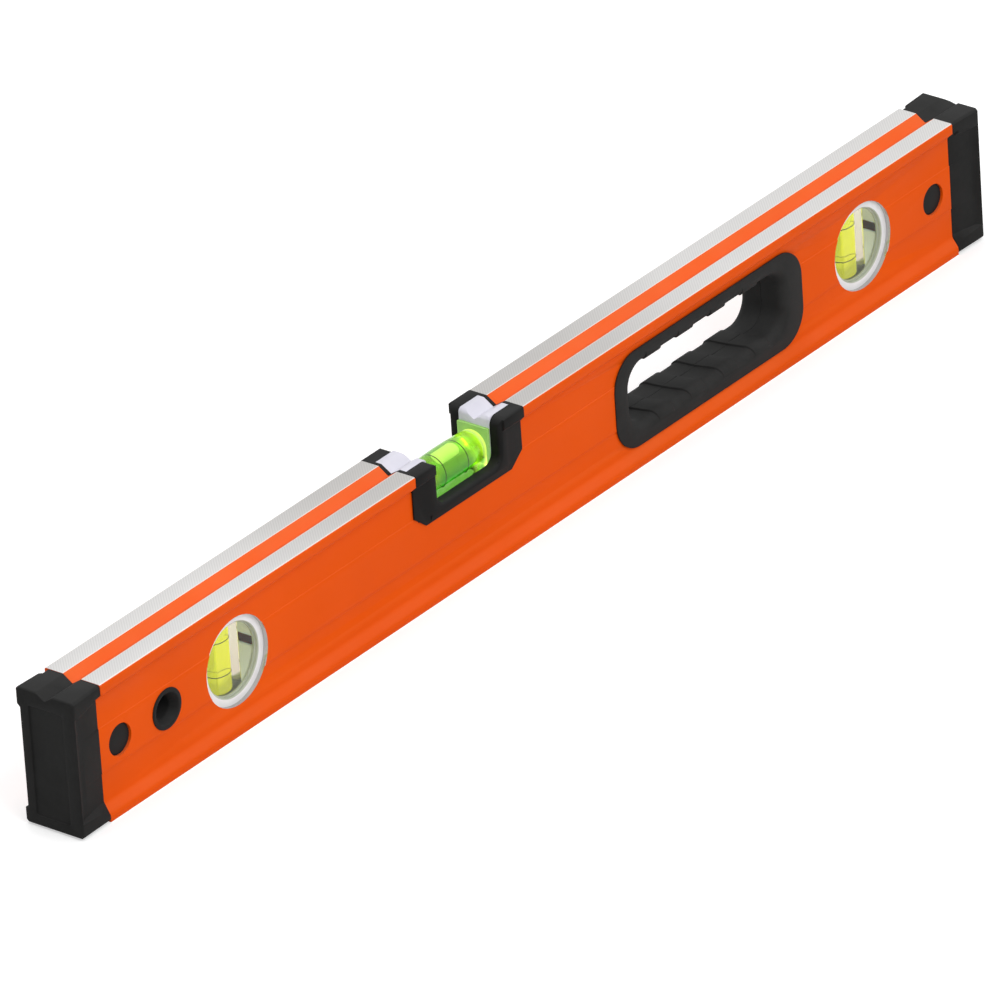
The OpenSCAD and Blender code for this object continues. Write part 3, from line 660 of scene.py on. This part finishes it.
def quarter(r, half, edge, steps):
    """Points round the lower edge of a cylinder, from its flat end to its side."""
    return [(r - edge + edge * math.sin(a), -half + edge - edge * math.cos(a))
            for a in [math.pi / 2 * i / steps for i in range(steps + 1)]]


def rounded_cylinder(r, half, edge):
    return mirrored([(0, -half)] + quarter(r, half, edge, 5))


def capsule(r, half):
    return mirrored(quarter(r, half, r, 10))


# %% [markdown]
# The centre vial is a clear block that bulges like a barrel above its axis, which makes the
# bubble seek the middle. Its radius shrinks with the square of the distance from the middle.
# One mesh gives the barrel, and a square plate closes each end. The liquid inside is a
# rounded cylinder, and the bubble is a capsule of the size of the imported bubble.

# %% Shape of the centre vial
BARREL = Vector((VIAL_X, 0.0, 0.0484))
BARREL_HALF = 0.0193
MIDDLE_R, END_R = 0.00785, 0.0071
TRAY_TOP = 0.0412
GAP = 0.00004  # keeps two clear skins apart


def barrel_body(name, stations=48, arc_steps=32):
    """The clear vial: a barrel above its axis, straight sides below it."""
    work = bmesh.new()
    rows = []
    foot_z = TRAY_TOP - BARREL.z + GAP
    arc = [math.pi * k / arc_steps for k in range(arc_steps + 1)]
    for i in range(stations + 1):
        x = BARREL_HALF * (2 * i / stations - 1)
        r = MIDDLE_R - (MIDDLE_R - END_R) * (x / BARREL_HALF) ** 2
        section = [(-r, foot_z)] + [(-r * math.cos(a), r * math.sin(a)) for a in arc]
        section.append((r, foot_z))
        rows.append([work.verts.new((x, y, z)) for y, z in section])
    count = len(rows[0])
    for first, second in zip(rows, rows[1:]):
        for k in range(count):
            j = (k + 1) % count
            work.faces.new((first[k], first[j], second[j], second[k]))
    work.faces.new(rows[0])
    work.faces.new(list(reversed(rows[-1])))
    bmesh.ops.recalc_face_normals(work, faces=work.faces)
    return to_mesh(work, name)


def box_mesh(name, low, high):
    """A block given by two corners."""
    work = bmesh.new()
    bmesh.ops.create_cube(work, size=1.0)
    for v in work.verts:
        v.co = [low[i] + (high[i] - low[i]) * (v.co[i] + 0.5) for i in range(3)]
    return to_mesh(work, name)


def joined(name, meshes):
    """One object from several closed meshes, with softened edges."""
    work = bmesh.new()
    for mesh in meshes:
        work.from_mesh(mesh)
        bpy.data.meshes.remove(mesh)
    obj = new_object(name, to_mesh(work, name))
    soften_edges(obj, 0.25 * MM, 3, 35)
    smooth_faces(obj.data, 35)
    return obj


# %% Centre vial
LIQUID_R, LIQUID_HALF, LIQUID_EDGE = 0.0057, 0.0183, 0.0015
vial_low, vial_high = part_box("centre_vial")
plug_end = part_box("centre_vial_plug")[1].x


def end_plate(name, low_x, high_x):
    """A square end plate of the vial, a hair clear of the tray round it."""
    return box_mesh(name, (low_x + GAP, vial_low.y + GAP, vial_low.z + GAP),
                    (high_x - GAP, vial_high.y - GAP, vial_high.z - GAP))


barrel = barrel_body("centre_barrel")
barrel.transform(Matrix.Translation(BARREL))
left_plate = end_plate("left_plate", vial_low.x, BARREL.x - BARREL_HALF - GAP)
right_plate = end_plate("right_plate", BARREL.x + BARREL_HALF + GAP, plug_end)
place(joined("centre_barrel", [barrel, left_plate]), (0, 0, 0), "acrylic", "clear_vial",
      "centre_vial")
place(joined("centre_end_plate", [right_plate]), (0, 0, 0), "plate", "clear_vial",
      "centre_vial_plug")
place(turned("centre_liquid_fill", rounded_cylinder(LIQUID_R, LIQUID_HALF, LIQUID_EDGE), "X"),
      BARREL, "liquid", "green_liquid", "centre_liquid")

bubble_low, bubble_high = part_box("centre_bubble")
bubble_size = bubble_high - bubble_low
place(turned("centre_bubble_shape", capsule(bubble_size.z / 2, bubble_size.x / 2), "X"),
      (bubble_low + bubble_high) / 2, "bubble", "bubble_pale", "centre_bubble")
print("centre vial made, bubble", in_mm(bubble_size), "mm")

# %% [markdown]
# A plumb vial is a clear block with its upright edges cut off and a bore for the liquid.
# The block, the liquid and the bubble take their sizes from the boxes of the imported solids,
# so they fit the drum that holds them.


# %% Plumb vials
BLOCK_CHAMFER = 0.0006
PLUMB_EDGE = 0.001


def block_vial(name, low, high):
    """A clear block with its four upright edges cut off."""
    work = bmesh.new()
    outline = []
    for sx, sy in ((1, -1), (1, 1), (-1, 1), (-1, -1)):
        x, y = (high.x if sx > 0 else low.x), (high.y if sy > 0 else low.y)
        a, b = (x - sx * BLOCK_CHAMFER, y), (x, y - sy * BLOCK_CHAMFER)
        outline += [a, b] if sx * sy < 0 else [b, a]
    bottom = [work.verts.new((x, y, low.z)) for x, y in outline]
    top = [work.verts.new((x, y, high.z)) for x, y in outline]
    work.faces.new(list(reversed(bottom)))
    work.faces.new(top)
    for i in range(len(outline)):
        j = (i + 1) % len(outline)
        work.faces.new((bottom[i], bottom[j], top[j], top[i]))
    bmesh.ops.recalc_face_normals(work, faces=work.faces)
    return new_object(name, to_mesh(work, name))


for side in SIDES:
    node = f"plumb_{side}_vial"
    low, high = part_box(node)
    place(block_vial(node + "_block", low, high), (0, 0, 0), "block", "clear_vial", node)
    low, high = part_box(f"plumb_{side}_liquid")
    size = high - low
    place(turned(f"plumb_{side}_fill", rounded_cylinder(size.x / 2, size.z / 2, PLUMB_EDGE)),
          (low + high) / 2, "plumb_liquid", "green_liquid", f"plumb_{side}_liquid")
    low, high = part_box(f"plumb_{side}_bubble")
    size = high - low
    place(turned(f"plumb_{side}_bubble_shape", capsule(size.x / 2, size.z / 2)),
          (low + high) / 2, "bubble", "bubble_pale", f"plumb_{side}_bubble")
print("plumb vials made")

# %% [markdown]
# Two black rings mark the bubble's place in every vial. They repeat along the vial's axis,
# so a Geometry Nodes tree makes them: a line of points, a thin torus on each point, then
# Realize Instances and Set Material, because an export drops instances.


# %% Tree of the reading rings
WIRE_R = 0.00022
CENTRE_RINGS = (0.0059, 0.0148)  # radius, and distance between the two rings
PLUMB_RINGS = (0.00455, 0.0154)


def ring_tree():
    tree = bpy.data.node_groups.new("reading_rings", "GeometryNodeTree")
    face = tree.interface
    face.new_socket("Geometry", in_out="OUTPUT", socket_type="NodeSocketGeometry")
    sizes = {}
    for label, kind, value in (
        ("Ring radius", "NodeSocketFloat", CENTRE_RINGS[0]),
        ("Wire radius", "NodeSocketFloat", WIRE_R),
        ("Gap", "NodeSocketFloat", CENTRE_RINGS[1]),
        ("Count", "NodeSocketInt", 2),
    ):
        sizes[label] = face.new_socket(label, in_out="INPUT", socket_type=kind)
        sizes[label].default_value = value
    given = tree.nodes.new("NodeGroupInput")
    line = add_node(tree, "GeometryNodeMeshLine", mode="OFFSET")
    combine = tree.nodes.new("ShaderNodeCombineXYZ")
    start = add_node(tree, "ShaderNodeVectorMath", operation="SCALE", Scale=-0.5)
    ring = add_node(tree, "GeometryNodeCurvePrimitiveCircle", Resolution=72)
    wire = add_node(tree, "GeometryNodeCurvePrimitiveCircle", Resolution=8)
    sweep = tree.nodes.new("GeometryNodeCurveToMesh")
    put = tree.nodes.new("GeometryNodeInstanceOnPoints")
    real = tree.nodes.new("GeometryNodeRealizeInstances")
    smooth = tree.nodes.new("GeometryNodeSetShadeSmooth")
    paint = add_node(tree, "GeometryNodeSetMaterial", Material=FINISH["ring"])
    out = tree.nodes.new("NodeGroupOutput")
    for a, b in (
        (given.outputs["Count"], line.inputs["Count"]),
        (given.outputs["Gap"], combine.inputs["Z"]),
        (combine.outputs["Vector"], line.inputs["Offset"]),
        (combine.outputs["Vector"], start.inputs[0]),
        (start.outputs["Vector"], line.inputs["Start Location"]),
        (given.outputs["Ring radius"], ring.inputs["Radius"]),
        (given.outputs["Wire radius"], wire.inputs["Radius"]),
        (ring.outputs["Curve"], sweep.inputs["Curve"]),
        (wire.outputs["Curve"], sweep.inputs["Profile Curve"]),
        (line.outputs["Mesh"], put.inputs["Points"]),
        (sweep.outputs["Mesh"], put.inputs["Instance"]),
        (put.outputs["Instances"], real.inputs["Geometry"]),
        (real.outputs["Geometry"], smooth.inputs["Geometry"]),
        (smooth.outputs["Geometry"], paint.inputs["Geometry"]),
        (paint.outputs["Geometry"], out.inputs["Geometry"]),
    ):
        tree.links.new(a, b)
    return tree, {label: socket.identifier for label, socket in sizes.items()}


RINGS, RING_INPUT = ring_tree()


# %% Reading rings
def reading_rings(name, node, radius, gap, centre, axis):
    obj = new_object(name, bpy.data.meshes.new(name))
    maker = obj.modifiers.new("rings", "NODES")
    maker.node_group = RINGS
    for label, value in (("Ring radius", radius), ("Wire radius", WIRE_R), ("Gap", gap),
                         ("Count", 2)):
        maker[RING_INPUT[label]] = value
    bake_modifiers(obj)
    if axis == "X":
        obj.data.transform(Matrix.Rotation(math.pi / 2, 4, "Y"))
    obj.data.transform(Matrix.Translation(centre))
    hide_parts(node)
    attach(obj, body_of_node(node))


reading_rings("centre_reading_rings", "centre_rings", *CENTRE_RINGS, BARREL, "X")
for side in SIDES:
    low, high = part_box(f"plumb_{side}_rings")
    reading_rings(f"plumb_{side}_reading_rings", f"plumb_{side}_rings", *PLUMB_RINGS,
                  (low + high) / 2, "Z")
print("reading rings made")

# %% [markdown]
# A coil spring pushes the two buttons of each end apart. It lies inside the closed beam, so
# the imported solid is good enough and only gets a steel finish.

# %% Hidden springs
for side in SIDES:
    slots = frame["nodes"][f"lock_spring_{side}"].data.materials
    slots.clear()
    slots.append(FINISH["steel"])
print("springs finished")

# %% [markdown]
# The level stands on a plain white floor under a soft overcast kind of light.
# The world lights it evenly, and one large lamp above the front makes the upper faces a
# little brighter than the side. The floor adds a glow only for the camera and for what
# shines or is clear, so it reads white and still keeps the soft shadow.


# %% Floor
FLOOR_HALF, FLOOR_Z = 8, -0.0002


def seen_directly(tree):
    """1 for the camera and for mirrored or refracted views, 0 for light that is gathered."""
    rays = add_node(tree, "ShaderNodeLightPath")
    either = math_node(tree, "MAXIMUM", rays.outputs["Is Camera Ray"],
                       rays.outputs["Is Glossy Ray"])
    return math_node(tree, "MAXIMUM", either, rays.outputs["Is Transmission Ray"])


floor_mesh = bpy.data.meshes.new("floor")
floor_mesh.from_pydata([(x * FLOOR_HALF, y * FLOOR_HALF, FLOOR_Z)
                        for x, y in ((-1, -1), (1, -1), (1, 1), (-1, 1))], [], [(0, 1, 2, 3)])
floor = new_object("floor", floor_mesh)

floor_mat = bpy.data.materials.new("white_floor")
floor_mat.use_nodes = True
tree = floor_mat.node_tree
tree.nodes.clear()
matte = add_node(tree, "ShaderNodeBsdfDiffuse", Color=(0.72, 0.72, 0.72, 1))
glow = add_node(tree, "ShaderNodeEmission",
                {"Strength": math_node(tree, "MULTIPLY", seen_directly(tree), 0.46)})
both = tree.nodes.new("ShaderNodeAddShader")
tree.links.new(matte.outputs[0], both.inputs[0])
tree.links.new(glow.outputs[0], both.inputs[1])
add_node(tree, "ShaderNodeOutputMaterial", {"Surface": both.outputs[0]})
floor.data.materials.append(floor_mat)
print("floor", 2 * FLOOR_HALF, "m wide")

# %% Light and background
world = bpy.data.worlds.new("studio")
bpy.context.scene.world = world
world.use_nodes = True
tree = world.node_tree
background = tree.nodes["Background"]
background.inputs["Color"].default_value = (1, 1, 1, 1)
feed(tree, background, Strength=remap(tree, seen_directly(tree), (0, 1), (0.60, 1.0)))


def soft_lamp(name, position, size, power):
    """A round lamp that looks at the middle of the level."""
    lamp = bpy.data.lights.new(name, "AREA")
    lamp.shape = "DISK"
    lamp.size = size
    lamp.energy = power
    obj = new_object(name, lamp)
    obj.location = position
    aim = Vector((0, 0, 0.03)) - Vector(position)
    obj.rotation_euler = aim.to_track_quat("-Z", "Y").to_euler()


soft_lamp("key_lamp", (-0.3, -1.5, 1.6), size=1.6, power=19)
soft_lamp("top_lamp", (0.1, 0.2, 2.3), size=1.8, power=15)
print("lamps:", len(bpy.data.lights))
